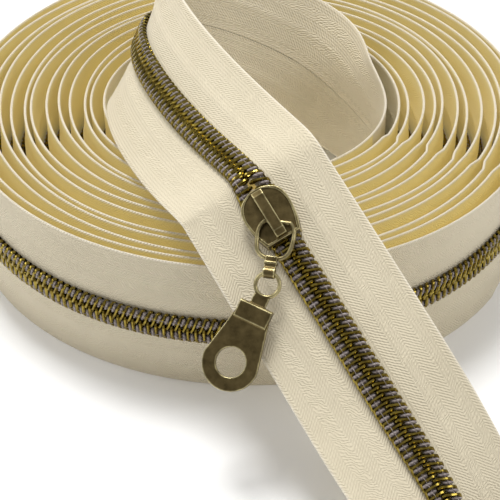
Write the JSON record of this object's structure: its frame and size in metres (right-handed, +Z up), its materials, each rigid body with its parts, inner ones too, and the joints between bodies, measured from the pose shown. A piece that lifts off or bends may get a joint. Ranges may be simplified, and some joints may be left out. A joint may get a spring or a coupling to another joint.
{
  "type": "zipper chain roll",
  "caption": "Roll of coil zipper chain standing on edge, its inner end laid over the front with one slider and a holed pull tab.",
  "frame": {"origin": "middle of the core of the roll, on the face that the roll stands on", "axes": "+Z up along the axis of the roll, -Y towards the side where the pulled-out end comes down to the floor"},
  "size_m": [0.1342, 0.2033, 0.0584],
  "materials": {
    "tape_cloth": "cream woven polyester, herringbone",
    "coil_nylon": "nylon monofilament with a dark brass metallised coat",
    "cord_yarn": "knitted polyester cord",
    "sewing_thread": "grey twisted polyester thread",
    "antique_brass": "dark antique brass plating, worn bright on the edges"
  },
  "bodies": {
    "chain": {"lower_tape_roll": "tape_cloth", "lower_coil_roll": "coil_nylon", "lower_filler_cord_roll": "cord_yarn", "lower_stitching_roll": "sewing_thread", "upper_tape_roll": "tape_cloth", "upper_coil_roll": "coil_nylon", "upper_filler_cord_roll": "cord_yarn", "upper_stitching_roll": "sewing_thread", "lower_tape_loop": "tape_cloth", "lower_coil_loop": "coil_nylon", "lower_filler_cord_loop": "cord_yarn", "lower_stitching_loop": "sewing_thread", "upper_tape_loop": "tape_cloth", "upper_coil_loop": "coil_nylon", "upper_filler_cord_loop": "cord_yarn", "upper_stitching_loop": "sewing_thread", "lower_tape_run": "tape_cloth", "lower_coil_run": "coil_nylon", "lower_filler_cord_run": "cord_yarn", "lower_stitching_run": "sewing_thread", "upper_tape_run": "tape_cloth", "upper_coil_run": "coil_nylon", "upper_filler_cord_run": "cord_yarn", "upper_stitching_run": "sewing_thread", "lower_tape_tail": "tape_cloth", "lower_coil_tail": "coil_nylon", "lower_filler_cord_tail": "cord_yarn", "lower_stitching_tail": "sewing_thread", "upper_tape_tail": "tape_cloth", "upper_coil_tail": "coil_nylon", "upper_filler_cord_tail": "cord_yarn", "upper_stitching_tail": "sewing_thread"},
    "slider": {"slider_body": "antique_brass"},
    "link": {"pull_link": "antique_brass"},
    "tab": {"pull_tab": "antique_brass"}
  },
  "joints": [
    {"name": "slider_slide", "type": "slide", "parent": "chain", "child": "slider", "axis": [0.498, -0.73, -0.468], "range_m": [0, 0.014], "deforming": ["lower_tape_run", "lower_coil_run", "lower_filler_cord_run", "lower_stitching_run", "upper_tape_run", "upper_coil_run", "upper_filler_cord_run", "upper_stitching_run"]},
    {"name": "link_swing", "type": "hinge", "parent": "slider", "child": "link", "pos_m": [0.00637, -0.06483, 0.0437], "axis": [-0.9743, 0.2248, -0.014], "range_deg": [0, 90]},
    {"name": "tab_swing", "type": "hinge", "parent": "link", "child": "tab", "pos_m": [0.00465, -0.0727, 0.03728], "axis": [-0.9743, 0.2248, -0.014], "range_deg": [0, 120]}
  ]
}
